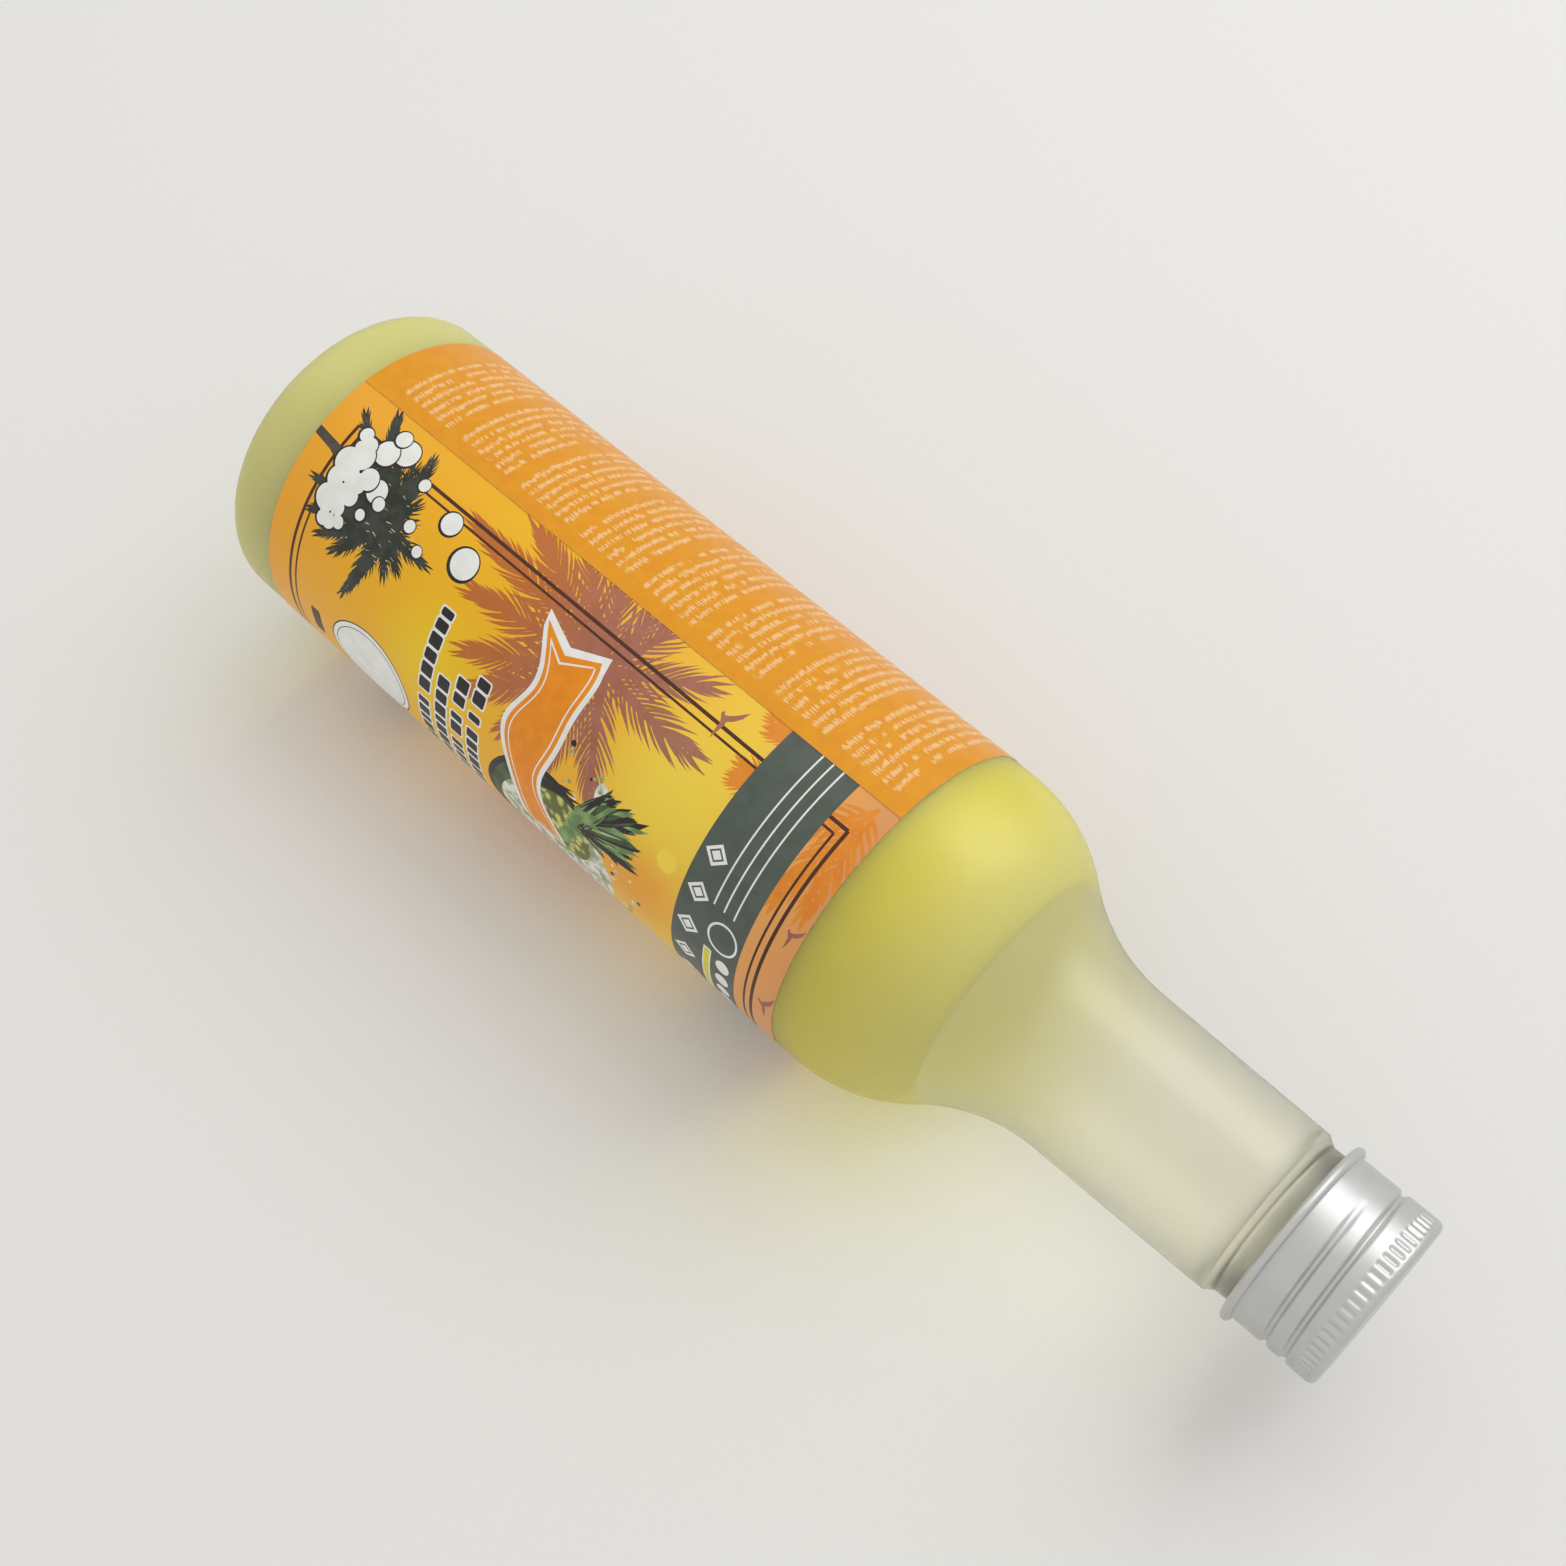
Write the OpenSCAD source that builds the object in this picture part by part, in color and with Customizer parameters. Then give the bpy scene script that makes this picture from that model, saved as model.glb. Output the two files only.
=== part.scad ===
// Slim screw-cap bottle with a wrap-around label and an aluminium cap.
// Modelled standing: +Z runs from the base to the cap, and the origin is the centre of the base.

/* [Body] */
// Outer radius of the straight body
body_r = 27.4; // [22:0.1:36]
// Wall thickness of the bottle
wall = 0.8; // [0.5:0.05:1.2]
// Radius of the rounded heel
heel_r = 5; // [3:0.5:8]
// Width of the flat ring that the bottle stands on
foot_w = 1.9; // [1:0.1:4]
// Height of the pushed-up middle of the base
push_up = 3; // [1:0.5:5]
// Height at which the shoulder starts to turn in
shoulder_z = 130.6; // [80:0.1:180]
// Radius of the convex shoulder
shoulder_r = 26.2; // [16:0.1:40]
// Radius of the concave bend into the neck
throat_r = 28.6; // [16:0.1:40]

/* [Neck and finish] */
// Length of the nearly straight neck
neck_l = 29.4; // [10:0.1:60]
// How much wider the neck is at its foot than at its top
neck_taper = 0.55; // [0:0.05:2]
// How far the neck steps in to the threaded finish
neck_step = 1.05; // [0.5:0.05:2]
// Length of the chamfer below the finish
finish_chamfer = 1.1; // [0.5:0.1:2]
// Radius of the finish, the part that the thread stands on
finish_r = 12.7; // [10:0.05:16]
// Length of the finish, from the neck to the rim
finish_l = 17; // [14:0.1:22]
// Wall thickness of the finish
finish_wall = 1.8; // [1:0.05:2.5]

/* [Thread] */
// Rise of the thread in one turn
pitch = 3.2; // [2.6:0.05:4]
// How far the neck thread stands out of the finish
thread_h = 0.75; // [0.5:0.05:1]
// Length of the neck thread in turns
thread_turns = 1.3; // [1:0.05:1.6]
// Length of the rolled groove in turns
groove_turns = 1.7; // [1:0.05:2]
// Distance from the rim to the top of the neck thread
thread_drop = 1.3; // [0.8:0.1:3]
// Direction in which both threads start
thread_start = -110; // [-180:1:180]

/* [Cap] */
// Thickness of the aluminium
cap_t = 0.4; // [0.3:0.05:0.6]
// Height of the finish that shows below the cap
finish_shown = 3.5; // [2:0.1:5]
// Radius of the wire-like bead at the cap's open end
bead_r = 0.75; // [0.5:0.05:1]
// Radius of the cap's top corner
corner_r = 1.1; // [0.6:0.1:1.6]
// Number of flutes around the closed end
flutes = 60; // [36:6:72]
// Height of the fluted band
flute_l = 2.5; // [1.5:0.1:3]
// Depth of a flute
flute_d = 0.25; // [0.1:0.05:0.3]
// Thickness of the sealing liner
liner_t = 1.2; // [0.6:0.1:1.8]

/* [Label] */
// Bare body between the heel and the label
label_lift = 7.4; // [1:0.1:20]
// Bare body between the label and the shoulder
label_drop = 3.5; // [1:0.1:20]
// Thickness of the film
film = 0.1; // [0.05:0.05:0.2]
// Width of the overlapped seam
seam_w = 8; // [4:0.5:15]
// Direction of the seam's edge
seam_angle = -86; // [-180:1:180]

/* [Shampoo] */
// Air between the liquid's level and the foot of the neck
headspace = 18; // [5:0.5:25]

/* [Hidden] */

fine = 96;              // steps in a full circle
arc_step = 6;           // angle between the points of an arc in an outline
turn_steps = 30;        // rings in one turn of a thread
fade = 40;              // angle over which a thread fades in and out
crest_share = 0.45;     // share of a thread's width that is left at its crest
thread_gap = 0.15;      // clearance between the neck thread and the cap's wall
root_gap = 0.3;         // clearance between the cap's rolled ridge and the finish
flank_gap = 0.1;        // clearance between the two threads along the axis
liner_gap = 0.05;       // clearance around the liner in the cap
lap = 0.01;             // how far the seam's strip bites into the film below it
rim_round = 0.4;        // chamfer on the outer edge of the rim

// The shoulder and the throat are two arcs that meet tangentially.
neck_top_r = finish_r + neck_step;
neck_foot_r = neck_top_r + neck_taper;
bend = acos(1 - (body_r - neck_foot_r) / (shoulder_r + throat_r));
neck_z = shoulder_z + (shoulder_r + throat_r) * sin(bend);
finish_z = neck_z + neck_l;
rim_z = finish_z + finish_l;
mouth_r = finish_r - finish_wall;

// The cap hangs from the rim, with the liner between them.
cap_in_r = finish_r + thread_h + thread_gap;
cap_r = cap_in_r + cap_t;
cap_top = rim_z + liner_t + cap_t;
cap_z = finish_z + finish_shown;
band_z = cap_top - corner_r - flute_l;

// Both threads follow one helix; the cap's rolled ridge runs half a pitch below the neck's.
ridge_w = pitch / 2 - flank_gap;
groove_d = thread_h + thread_gap - root_gap;
neck_thread_z = rim_z - thread_drop - thread_turns * pitch - ridge_w / 2;
groove_z = neck_thread_z - pitch / 2;

// The label and the liquid take their places from the bottle.
label_z = heel_r + label_lift;
label_h = shoulder_z - label_drop - label_z;
fill_z = neck_z - headspace;

// Points of an arc about [x, y]; the first and last angles are included.
function arc(x, y, r, from, to, step = arc_step) =
    let (n = max(2, ceil(abs(to - from) / step)))
    [for (i = [0:n]) let (a = from + (to - from) * i / n) [x + r * cos(a), y + r * sin(a)]];

// Outline from the middle of the base to the top of the neck, drawn in by inset.
function outline(inset) =
    let (
        foot_r = body_r - heel_r - foot_w,
        dome_r = (foot_r * foot_r + push_up * push_up) / (2 * push_up),
        dome_end = asin(foot_r / dome_r)
    )
    concat(
        arc(0, push_up - dome_r, dome_r + inset, 90, 90 - dome_end, 3),
        arc(body_r - heel_r, heel_r, heel_r - inset, -90, 0, 10),
        arc(body_r - shoulder_r, shoulder_z, shoulder_r - inset, 0, bend),
        arc(neck_foot_r + throat_r, neck_z, throat_r + inset, 180 + bend, 180),
        [[neck_top_r - inset, finish_z]]
    );

// A ridge or groove that winds up a helix. Its foot lies inside the wall or, for a groove, outside it, by sink.
// Both ends fade into the foot, so the thread grows out of the wall.
module helix(r_wall, r_crest, z0, start, turns, width, sink = 0.2) {
    n = ceil(turns * turn_steps);
    outward = r_crest > r_wall;
    foot = r_wall + (outward ? -sink : sink);
    hidden_crest = foot + (r_wall - foot) * 0.3;
    rings = [for (i = [0:n])
        let (
            a = 360 * turns * i / n,
            level = max(0, min(1, a / fade, (360 * turns - a) / fade)),
            crest = hidden_crest + (r_crest - hidden_crest) * level,
            z = z0 + pitch * a / 360
        )
        [for (p = [[foot, -width / 2], [crest, -width * crest_share / 2],
                   [crest, width * crest_share / 2], [foot, width / 2]])
            [p[0] * cos(a + start), p[0] * sin(a + start), z + p[1]]]];
    points = [for (ring = rings) for (p = ring) p];
    sides = [for (i = [0:n - 1]) for (j = [0:3])
        let (a = i * 4 + j, b = i * 4 + (j + 1) % 4)
        each [[a, b + 4, a + 4], [a, b, b + 4]]];
    faces = concat(sides, [[3, 2, 1, 0], [n * 4, n * 4 + 1, n * 4 + 2, n * 4 + 3]]);
    polyhedron(points, outward ? faces : [for (f = faces) [f[2], f[1], f[0], if (len(f) > 3) f[3]]]);
}

// Frosted bottle: one shell from the pushed-up base to the threaded finish.
module bottle() {
    cavity = outline(wall);
    color([0.85, 0.87, 0.72, 0.6]) {
        rotate_extrude($fn = fine)
            polygon(concat(
                outline(0),
                [[finish_r, finish_z + finish_chamfer], [finish_r, rim_z - rim_round],
                 [finish_r - rim_round, rim_z], [mouth_r, rim_z], [mouth_r, finish_z + finish_chamfer]],
                [for (i = [len(cavity) - 1:-1:0]) cavity[i]]
            ));
        helix(finish_r, finish_r + thread_h, neck_thread_z, thread_start, thread_turns, ridge_w);
    }
}

// Printed film wrapped once around the body, with its end lapped over its start.
module label() {
    seam_turn = seam_w / body_r * 180 / PI;
    color("orange") {
        translate([0, 0, label_z])
            difference() {
                cylinder(r = body_r + film, h = label_h, $fn = fine);
                translate([0, 0, -1])
                    cylinder(r = body_r, h = label_h + 2, $fn = fine);
            }
        rotate([0, 0, seam_angle - seam_turn])
            rotate_extrude(angle = seam_turn, $fn = fine)
                translate([body_r + film - lap, label_z])
                    square([film + lap, label_h]);
    }
}

// Liquid inside the bottle, up to the fill level.
module shampoo() {
    color([0.84, 0.82, 0.2, 0.8])
        intersection() {
            rotate_extrude($fn = fine)
                polygon(concat(outline(wall), [[0, finish_z]]));
            cylinder(r = body_r, h = fill_z, $fn = fine);
        }
}

// Soft disc that seals the cap against the rim.
module cap_liner() {
    color("white")
        translate([0, 0, rim_z])
            cylinder(r = cap_in_r - liner_gap, h = liner_t, $fn = fine);
}

// Plain aluminium shell of the cap: top, corner, skirt and the curled bead at the open end.
module cap_shell() {
    bead_x = cap_in_r + bead_r;
    bead_start = acos((cap_r - bead_x) / bead_r);
    rotate_extrude($fn = fine)
        polygon(concat(
            [[0, cap_top]],
            arc(cap_r - corner_r, cap_top - corner_r, corner_r, 90, 0, 15),
            arc(bead_x, cap_z + bead_r, bead_r, bead_start, -180, 20),
            [[cap_in_r, cap_top - cap_t], [0, cap_top - cap_t]]
        ));
}

// Short flutes pressed into the band next to the closed end.
module cap_flutes() {
    scoop_r = flute_d + 0.3;
    for (i = [0:flutes - 1])
        rotate([0, 0, 360 * i / flutes])
            translate([cap_r + scoop_r - flute_d, 0, band_z])
                cylinder(r = scoop_r, h = flute_l, $fn = 16);
}

// Spun aluminium cap: the thread is rolled into the wall, so it is a groove outside and a ridge inside.
module cap() {
    color("silver")
        difference() {
            union() {
                difference() {
                    cap_shell();
                    cap_flutes();
                }
                helix(cap_in_r, cap_in_r - groove_d, groove_z, thread_start, groove_turns, ridge_w);
            }
            helix(cap_r, cap_r - groove_d, groove_z, thread_start, groove_turns, ridge_w * 0.8);
        }
}

bottle();
label();
shampoo();
cap_liner();
cap();
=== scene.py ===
"""Looks of the screw-cap shampoo bottle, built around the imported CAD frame.

The bottle stands on its base along +Z. The picture shows it lying down, so the camera is rolled and the pale
surface that the bottle lies against is a plane just behind it, on its +Y side.
"""

import math
import random

import bpy
from mathutils import Matrix, Vector
from mathutils.geometry import delaunay_2d_cdt


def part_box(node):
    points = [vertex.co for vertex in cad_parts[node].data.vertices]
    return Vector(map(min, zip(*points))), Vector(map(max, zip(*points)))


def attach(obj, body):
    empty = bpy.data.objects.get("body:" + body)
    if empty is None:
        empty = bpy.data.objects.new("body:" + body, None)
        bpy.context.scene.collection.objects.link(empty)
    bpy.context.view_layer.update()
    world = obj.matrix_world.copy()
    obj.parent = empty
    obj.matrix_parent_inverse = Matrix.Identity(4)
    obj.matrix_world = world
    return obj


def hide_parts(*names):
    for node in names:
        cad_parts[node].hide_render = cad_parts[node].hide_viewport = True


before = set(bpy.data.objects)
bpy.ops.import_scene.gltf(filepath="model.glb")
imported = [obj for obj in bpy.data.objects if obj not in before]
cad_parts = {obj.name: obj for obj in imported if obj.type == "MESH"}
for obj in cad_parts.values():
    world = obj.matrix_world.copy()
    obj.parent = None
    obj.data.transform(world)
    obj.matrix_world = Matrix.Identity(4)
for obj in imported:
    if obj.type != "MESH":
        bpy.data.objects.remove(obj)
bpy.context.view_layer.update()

MM = 0.001

# Sizes in millimetres. What the frame knows is read from it; the rest repeats the named values of the CAD source.
bottle_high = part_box("bottle")[1] / MM
label_low, label_high = (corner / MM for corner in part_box("label"))
cap_low, cap_high = (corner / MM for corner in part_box("cap"))
liner_low, liner_high = (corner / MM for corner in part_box("cap_liner"))
liquid_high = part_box("shampoo")[1] / MM

BODY_R = bottle_high.x
FILM = 0.1
LABEL_R = BODY_R + FILM
WALL = 0.8
HEEL_R = 5.0
FOOT_W = 1.9
PUSH_UP = 3.0
SHOULDER_Z = label_high.z + 3.5
SHOULDER_R = 26.2
THROAT_R = 28.6
NECK_TOP_R = 13.75
NECK_FOOT_R = 14.3
NECK_L = 29.4
FINISH_R = 12.7
FINISH_CHAMFER = 1.1
MOUTH_R = 10.9
RIM_Z = bottle_high.z
BEND = math.acos(1 - (BODY_R - NECK_FOOT_R) / (SHOULDER_R + THROAT_R))
NECK_Z = SHOULDER_Z + (SHOULDER_R + THROAT_R) * math.sin(BEND)
FINISH_Z = NECK_Z + NECK_L

PITCH = 3.2
THREAD_H = 0.75
THREAD_TURNS = 1.3
GROOVE_TURNS = 1.7
THREAD_START = -110.0
RIDGE_W = PITCH / 2 - 0.1
NECK_THREAD_Z = RIM_Z - 1.3 - THREAD_TURNS * PITCH - RIDGE_W / 2
GROOVE_Z = NECK_THREAD_Z - PITCH / 2
GROOVE_D = 0.6
# Degrees over which a thread's ends run out.
FADE = 40.0

CAP_T = 0.4
CAP_IN_R = FINISH_R + THREAD_H + 0.15
CAP_R = CAP_IN_R + CAP_T
BEAD_R = 0.75
CAP_CORNER = 1.1
FLUTES = 60
FLUTE_L = 2.5
FLUTE_D = 0.25

SEAM_ANGLE = -86.0
SEAM_W = 8.0
CIRCUMFERENCE = 2 * math.pi * LABEL_R
SEAM_A = math.radians(SEAM_ANGLE) * LABEL_R


# ---------------------------------------------------------------- camera, surface and light

TARGET = Vector((-0.0025, -0.0011, 0.1001))
VIEW_AZIMUTH = 23.78
VIEW_ELEVATION = 21.55
VIEW_ROLL = 129.8
VIEW_DISTANCE = 0.3226
LENS = 48.24


def add_camera():
    """Looks at the middle of the bottle with the photograph's field of view, rolled so that the bottle lies."""
    azimuth, elevation = math.radians(VIEW_AZIMUTH), math.radians(VIEW_ELEVATION)
    back = Vector(
        (math.sin(azimuth) * math.cos(elevation), -math.cos(azimuth) * math.cos(elevation), math.sin(elevation))
    )
    data = bpy.data.cameras.new("camera")
    data.lens = LENS
    data.sensor_width = 36
    data.clip_start = 0.01
    camera = bpy.data.objects.new("camera", data)
    bpy.context.scene.collection.objects.link(camera)
    turn = back.to_track_quat("Z", "Y").to_matrix().to_4x4()
    roll = Matrix.Rotation(math.radians(VIEW_ROLL), 4, "Z")
    camera.matrix_world = Matrix.Translation(TARGET + back * VIEW_DISTANCE) @ turn @ roll
    bpy.context.scene.camera = camera


def new_object(name, verts, faces):
    """Makes a smooth mesh object from points in millimetres."""
    mesh = bpy.data.meshes.new(name)
    mesh.from_pydata([(x * MM, y * MM, z * MM) for x, y, z in verts], [], faces)
    mesh.validate()
    mesh.shade_smooth()
    obj = bpy.data.objects.new(name, mesh)
    bpy.context.scene.collection.objects.link(obj)
    return obj


class Shader:
    """A small helper that builds one node material."""

    def __init__(self, name):
        self.material = bpy.data.materials.new(name)
        self.material.use_nodes = True
        self.tree = self.material.node_tree
        self.tree.nodes.clear()
        self.out = self.add("ShaderNodeOutputMaterial")

    def add(self, kind, inputs=None, **settings):
        node = self.tree.nodes.new(kind)
        for key, value in settings.items():
            setattr(node, key, value)
        for key, value in (inputs or {}).items():
            self.set(node, key, value)
        return node

    def set(self, node, key, value):
        if isinstance(value, bpy.types.NodeSocket):
            self.tree.links.new(value, node.inputs[key])
        else:
            node.inputs[key].default_value = value

    def math(self, operation, *values):
        node = self.add("ShaderNodeMath", operation=operation)
        for i, value in enumerate(values):
            self.set(node, i, value)
        return node.outputs[0]

    def mix(self, factor, a, b):
        node = self.add("ShaderNodeMix", data_type="RGBA")
        self.set(node, 0, factor)
        self.set(node, 6, a)
        self.set(node, 7, b)
        return node.outputs[2]

    def product(self, *values):
        result = values[0]
        for value in values[1:]:
            result = self.math("MULTIPLY", result, value)
        return result

    def vector(self, x, y):
        return self.add("ShaderNodeCombineXYZ", {0: x, 1: y}).outputs[0]

    def split(self):
        """The point's own x, y and z in metres."""
        return self.add("ShaderNodeSeparateXYZ", {0: self.place()}).outputs

    def height(self):
        """The point's height over the base in millimetres."""
        return self.math("MULTIPLY", self.split()[2], 1 / MM)

    def step(self, value, low, high):
        """0 below low, 1 above high, smooth between."""
        node = self.add("ShaderNodeMapRange", interpolation_type="SMOOTHSTEP")
        for key, v in (("Value", value), ("From Min", low), ("From Max", high)):
            self.set(node, key, v)
        return node.outputs[0]

    def noise(self, vector, scale, detail=2.0, roughness=0.5):
        inputs = {"Vector": vector, "Scale": scale, "Detail": detail, "Roughness": roughness}
        node = self.add("ShaderNodeTexNoise", inputs)
        return node.outputs["Fac"]

    def place(self):
        return self.add("ShaderNodeTexCoord").outputs["Object"]

    def bump(self, height, distance, strength=1.0):
        node = self.add("ShaderNodeBump", {"Height": height, "Distance": distance, "Strength": strength})
        return node.outputs["Normal"]

    def principled(self, **inputs):
        node = self.add("ShaderNodeBsdfPrincipled")
        for key, value in inputs.items():
            self.set(node, key.replace("_", " "), value)
        self.tree.links.new(node.outputs[0], self.out.inputs["Surface"])
        return node

    def let_lamps_through(self, node, tint):
        """Rays from lamps pass this surface with a tint, so that what is behind it is lit."""
        path = self.add("ShaderNodeLightPath")
        clear = self.add("ShaderNodeBsdfTransparent", {"Color": tint})
        mix = self.add("ShaderNodeMixShader", {0: path.outputs["Is Shadow Ray"]})
        self.tree.links.new(node.outputs[0], mix.inputs[1])
        self.tree.links.new(clear.outputs[0], mix.inputs[2])
        self.tree.links.new(mix.outputs[0], self.out.inputs["Surface"])


def rgb(r, g, b):
    """sRGB values from 0 to 255, as the linear colour that a shader takes."""

    def linear(c):
        c /= 255
        return c / 12.92 if c <= 0.04045 else ((c + 0.055) / 1.055) ** 2.4

    return (linear(r), linear(g), linear(b), 1.0)


PALE = rgb(232, 231, 228)
FILL = 0.72
FILL_TINT = (1.0, 0.995, 0.98, 1.0)
SURFACE_HALF = 2.5
SURFACE_GAP = 0.0002


def add_surface():
    """The pale surface that the bottle lies against. It shows from its front only, and never shades the bottle."""
    half = SURFACE_HALF
    y = label_high.y * MM + SURFACE_GAP
    mesh = bpy.data.meshes.new("surface")
    mesh.from_pydata([(-half, y, -half), (half, y, -half), (half, y, half), (-half, y, half)], [], [(0, 1, 2, 3)])
    surface = bpy.data.objects.new("surface", mesh)
    bpy.context.scene.collection.objects.link(surface)
    s = Shader("pale_surface")
    grain = s.noise(s.place(), 900, 3)
    tone = s.mix(grain, rgb(233, 232, 229), rgb(236, 235, 233))
    diffuse = s.add("ShaderNodeBsdfDiffuse", {"Color": tone})
    clear = s.add("ShaderNodeBsdfTransparent")
    path = s.add("ShaderNodeLightPath")
    seen = s.math("MAXIMUM", path.outputs["Is Camera Ray"], path.outputs["Is Glossy Ray"])
    seen = s.math("MAXIMUM", seen, path.outputs["Is Transmission Ray"])
    front = s.math("SUBTRACT", 1.0, s.add("ShaderNodeNewGeometry").outputs["Backfacing"])
    mix = s.add("ShaderNodeMixShader", {0: s.math("MULTIPLY", seen, front)})
    s.tree.links.new(clear.outputs[0], mix.inputs[1])
    s.tree.links.new(diffuse.outputs[0], mix.inputs[2])
    s.tree.links.new(mix.outputs[0], s.out.inputs["Surface"])
    mesh.materials.append(s.material)


def add_world():
    """Soft fill from all round; the camera, metal and clear plastic see the same pale tone as the surface."""
    world = bpy.data.worlds.new("world")
    bpy.context.scene.world = world
    world.use_nodes = True
    tree = world.node_tree
    tree.nodes.clear()
    path = tree.nodes.new("ShaderNodeLightPath")
    seen = tree.nodes.new("ShaderNodeMath")
    seen.operation = "MAXIMUM"
    tree.links.new(path.outputs["Is Camera Ray"], seen.inputs[0])
    tree.links.new(path.outputs["Is Transmission Ray"], seen.inputs[1])
    mirrored = tree.nodes.new("ShaderNodeMath")
    mirrored.operation = "MAXIMUM"
    tree.links.new(seen.outputs[0], mirrored.inputs[0])
    tree.links.new(path.outputs["Is Glossy Ray"], mirrored.inputs[1])
    fill = tree.nodes.new("ShaderNodeBackground")
    fill.inputs["Color"].default_value = FILL_TINT
    fill.inputs["Strength"].default_value = FILL
    shown = tree.nodes.new("ShaderNodeBackground")
    shown.inputs["Color"].default_value = PALE
    mix = tree.nodes.new("ShaderNodeMixShader")
    out = tree.nodes.new("ShaderNodeOutputWorld")
    tree.links.new(mirrored.outputs[0], mix.inputs[0])
    tree.links.new(fill.outputs[0], mix.inputs[1])
    tree.links.new(shown.outputs[0], mix.inputs[2])
    tree.links.new(mix.outputs[0], out.inputs["Surface"])


def add_lamp(name, direction, distance, size, power):
    """A square or oblong soft lamp that looks at the middle of the bottle."""
    data = bpy.data.lights.new(name, "AREA")
    data.shape = "RECTANGLE"
    data.size, data.size_y = size
    data.energy = power
    lamp = bpy.data.objects.new(name, data)
    bpy.context.scene.collection.objects.link(lamp)
    way = Vector(direction).normalized()
    lamp.matrix_world = Matrix.Translation(TARGET + way * distance) @ way.to_track_quat("Z", "Y").to_matrix().to_4x4()


def add_lamps():
    add_lamp("key_lamp", (-0.75, -1.0, 0.15), 0.9, (0.7, 0.7), 2.5)
    add_lamp("strip_lamp", (-0.07, -0.88, -0.47), 0.8, (0.14, 0.7), 0.25)


# ---------------------------------------------------------------- shapes

# How many steps each round shape takes about its axis.
BOTTLE_STEPS = 192
ROUND_STEPS = 128
STEPS_IN_FLUTE = 9


def arc(x, y, r, start, end, steps):
    """Points of an arc about (x, y), with its angles in degrees."""
    angles = [math.radians(start + (end - start) * i / steps) for i in range(steps + 1)]
    return [(x + r * math.cos(a), y + r * math.sin(a)) for a in angles]


def outline(inset):
    """The bottle's profile (r, z) from the middle of the base to the top of the neck, drawn in by inset."""
    foot_r = BODY_R - HEEL_R - FOOT_W
    dome_r = (foot_r**2 + PUSH_UP**2) / (2 * PUSH_UP)
    dome_end = math.degrees(math.asin(foot_r / dome_r))
    bend = math.degrees(BEND)
    points = arc(0, PUSH_UP - dome_r, dome_r + inset, 90, 90 - dome_end, 14)
    points += arc(BODY_R - HEEL_R, HEEL_R, HEEL_R - inset, -90, 0, 14)
    points += [(BODY_R - inset, HEEL_R + (SHOULDER_Z - HEEL_R) * i / 16) for i in range(1, 16)]
    points += arc(BODY_R - SHOULDER_R, SHOULDER_Z, SHOULDER_R - inset, 0, bend, 28)
    points += arc(NECK_FOOT_R + THROAT_R, NECK_Z, THROAT_R + inset, 180 + bend, 180, 28)[1:]
    points += [
        (NECK_FOOT_R + (NECK_TOP_R - NECK_FOOT_R) * i / 8 - inset, NECK_Z + (NECK_L - 0.3) * i / 8)
        for i in range(1, 9)
    ]
    return points


def revolve(profile, steps, radius=None):
    """Turns a profile (r, z) about +Z. Ends at r = 0 close to a point. radius(r, z, angle) may change each radius."""
    verts, rows = [], []
    for r, z in profile:
        if r < 1e-6:
            rows.append([len(verts)] * steps)
            verts.append((0, 0, z))
            continue
        row = []
        for j in range(steps):
            a = 2 * math.pi * j / steps
            rr = radius(r, z, math.degrees(a)) if radius else r
            row.append(len(verts))
            verts.append((rr * math.cos(a), rr * math.sin(a), z))
        rows.append(row)
    faces = []
    for low, high in zip(rows, rows[1:]):
        for j in range(steps):
            k = (j + 1) % steps
            corners = [low[j], low[k], high[k], high[j]]
            faces.append([c for i, c in enumerate(corners) if c != corners[i - 1]])
    return verts, faces


def thread_depth(z, angle, first_z, turns, width, crest_share=0.4):
    """How far a winding thread stands out at a height and angle, from 0 to 1."""
    depth = 0.0
    lead = (angle - THREAD_START) % 360
    while lead <= 360 * turns:
        off = abs(z - first_z - PITCH * lead / 360) / (width / 2)
        level = max(0.0, min(1.0, lead / FADE, (360 * turns - lead) / FADE))
        slope = max(0.0, min(1.0, (1 - off) / (1 - crest_share)))
        depth = max(depth, level * slope * slope * (3 - 2 * slope))
        lead += 360
    return depth


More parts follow.
